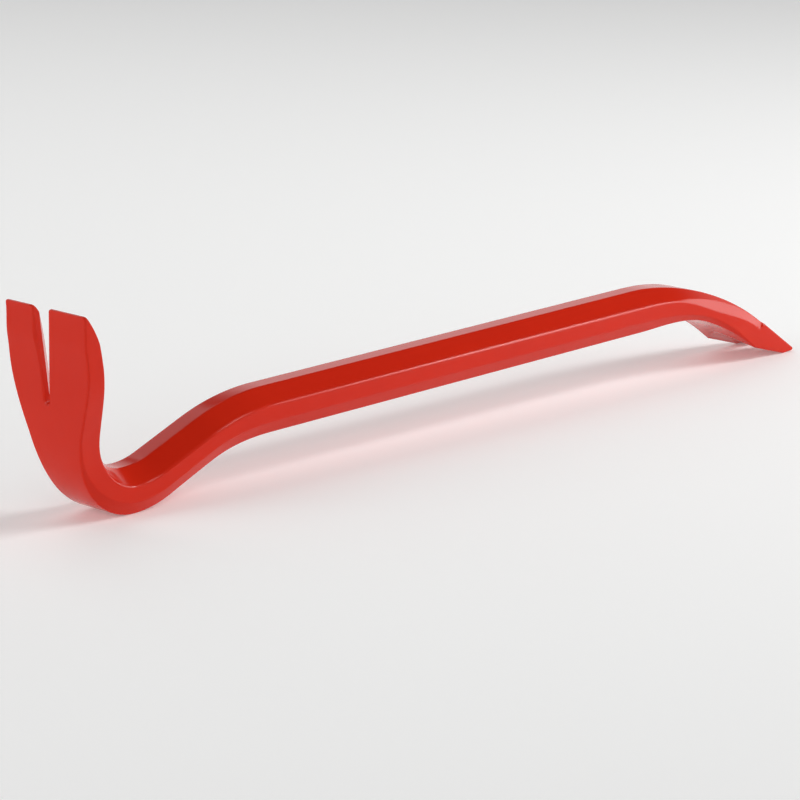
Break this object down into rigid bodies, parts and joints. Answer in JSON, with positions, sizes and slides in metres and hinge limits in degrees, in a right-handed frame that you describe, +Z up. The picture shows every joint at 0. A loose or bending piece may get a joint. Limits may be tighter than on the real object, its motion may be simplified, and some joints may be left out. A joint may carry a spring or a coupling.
{
  "type": "pry bar",
  "caption": "Forged steel pry bar with an upright slotted nail claw, rounded heel, eight-sided shank and curved slotted chisel end, painted red.",
  "frame": {"origin": "on the bench under the middle of the bar's length, with the bar resting on its heel and chisel edge", "axes": "+X from the claw towards the chisel blade, +Y across the bar, +Z up, the way the claw stands"},
  "size_m": [0.4504, 0.0454, 0.0854],
  "materials": {
    "red_enamel_steel": "gloss"
  },
  "bodies": {
    "root": {"pry_bar": "red_enamel_steel"}
  },
  "joints": []
}
